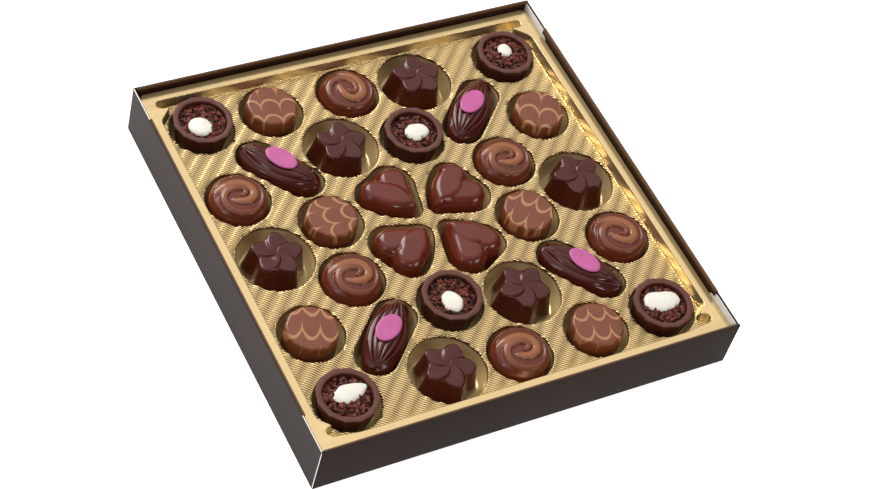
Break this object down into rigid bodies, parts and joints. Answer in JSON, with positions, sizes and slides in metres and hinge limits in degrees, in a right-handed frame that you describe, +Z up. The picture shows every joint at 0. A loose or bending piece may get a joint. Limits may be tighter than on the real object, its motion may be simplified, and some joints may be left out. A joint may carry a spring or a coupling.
{
  "type": "box of chocolate pralines",
  "caption": "Shallow square card box with a gold formed tray whose pockets hold filled cups, combed rounds, swirls, stars, boats with a pink disc and leaning hearts",
  "frame": {"origin": "middle of the underside of the box", "axes": "+X along the front wall to the right, +Y towards the back wall, +Z up through the open top"},
  "size_m": [0.225, 0.225, 0.03],
  "materials": {
    "card": "dark brown printed card, white at its cut edges and unprinted corner flaps",
    "gold_foil": "thin formed plastic sheet with a bright gold metal coating, ribbed between the pockets",
    "milk_chocolate": "milk chocolate with a soft satin shine and lighter lines or bands on some pieces",
    "dark_chocolate": "dark chocolate, smooth and glossy",
    "cup_chocolate": "dark milk chocolate with a cut matt rim",
    "crumbs": "rough chocolate crumbs with small shiny faces",
    "cream": "smooth white cream",
    "pink_disc": "pink coloured chocolate, smooth and satin"
  },
  "bodies": {
    "root": {"box": "card", "tray": "gold_foil", "cup_1_shell": "cup_chocolate", "cup_1_crumbs": "crumbs", "cup_1_cream": "cream", "cup_2_shell": "cup_chocolate", "cup_2_crumbs": "crumbs", "cup_2_cream": "cream", "cup_3_shell": "cup_chocolate", "cup_3_crumbs": "crumbs", "cup_3_cream": "cream", "cup_4_shell": "cup_chocolate", "cup_4_crumbs": "crumbs", "cup_4_cream": "cream", "cup_5_shell": "cup_chocolate", "cup_5_crumbs": "crumbs", "cup_5_cream": "cream", "cup_6_shell": "cup_chocolate", "cup_6_crumbs": "crumbs", "cup_6_cream": "cream", "round_1": "milk_chocolate", "round_2": "milk_chocolate", "round_3": "milk_chocolate", "round_4": "milk_chocolate", "round_5": "milk_chocolate", "round_6": "milk_chocolate", "swirl_1": "milk_chocolate", "swirl_2": "milk_chocolate", "swirl_3": "milk_chocolate", "swirl_4": "milk_chocolate", "swirl_5": "milk_chocolate", "swirl_6": "milk_chocolate", "star_1": "dark_chocolate", "star_2": "dark_chocolate", "star_3": "dark_chocolate", "star_4": "dark_chocolate", "star_5": "dark_chocolate", "star_6": "dark_chocolate", "boat_1_body": "dark_chocolate", "boat_1_disc": "pink_disc", "boat_2_body": "dark_chocolate", "boat_2_disc": "pink_disc", "boat_3_body": "dark_chocolate", "boat_3_disc": "pink_disc", "boat_4_body": "dark_chocolate", "boat_4_disc": "pink_disc", "heart_1": "milk_chocolate", "heart_2": "milk_chocolate", "heart_3": "milk_chocolate", "heart_4": "milk_chocolate"}
  },
  "joints": []
}
